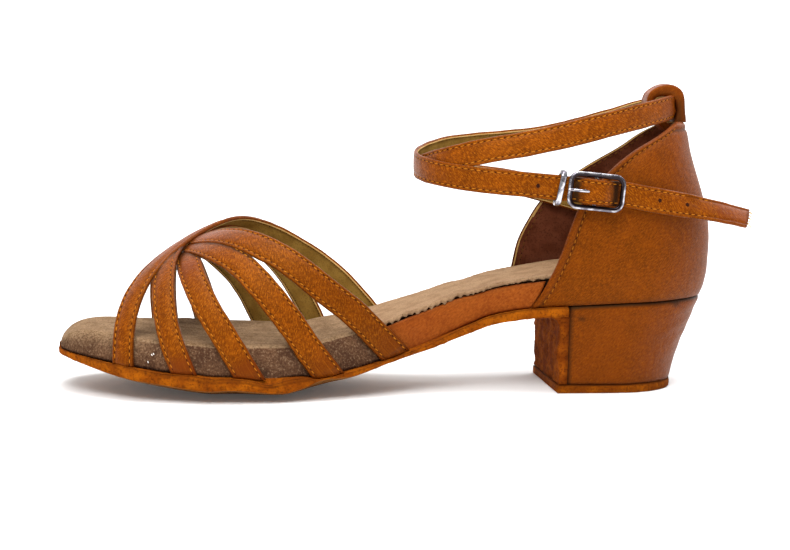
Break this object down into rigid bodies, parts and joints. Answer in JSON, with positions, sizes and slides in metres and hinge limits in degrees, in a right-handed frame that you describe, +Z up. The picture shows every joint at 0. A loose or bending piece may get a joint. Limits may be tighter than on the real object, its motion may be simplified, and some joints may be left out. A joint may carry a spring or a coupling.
{
  "type": "ballroom dance shoe",
  "caption": "Open satin dance sandal for the left foot: crossing vamp straps, closed heel counter, looped ankle strap with a side buckle, suede sole and low covered block heel.",
  "frame": {"origin": "on the floor in the middle of the heel, under the heel lift's flat face", "axes": "+X from heel to toe, +Y towards the outer side of the foot, +Z up"},
  "size_m": [0.2581, 0.0786, 0.1158],
  "materials": {
    "satin": "tan satin over a thin lining",
    "sole_suede": "split suede, rough",
    "insole_suede": "beige suede",
    "waist_leather": "smooth reddish tan",
    "bright_metal": "polished"
  },
  "bodies": {
    "root": {"ankle_strap": "satin", "back_loop": "satin", "buckle_frame": "bright_metal", "buckle_prong": "bright_metal", "buckle_tab": "satin", "heel_block": "satin", "heel_counter": "satin", "heel_lift": "sole_suede", "insole": "insole_suede", "outsole": "sole_suede", "sock_lining": "insole_suede", "strap_keeper": "bright_metal", "vamp_straps": "satin", "waist_cover_inner": "waist_leather", "waist_cover_outer": "waist_leather"}
  },
  "joints": []
}
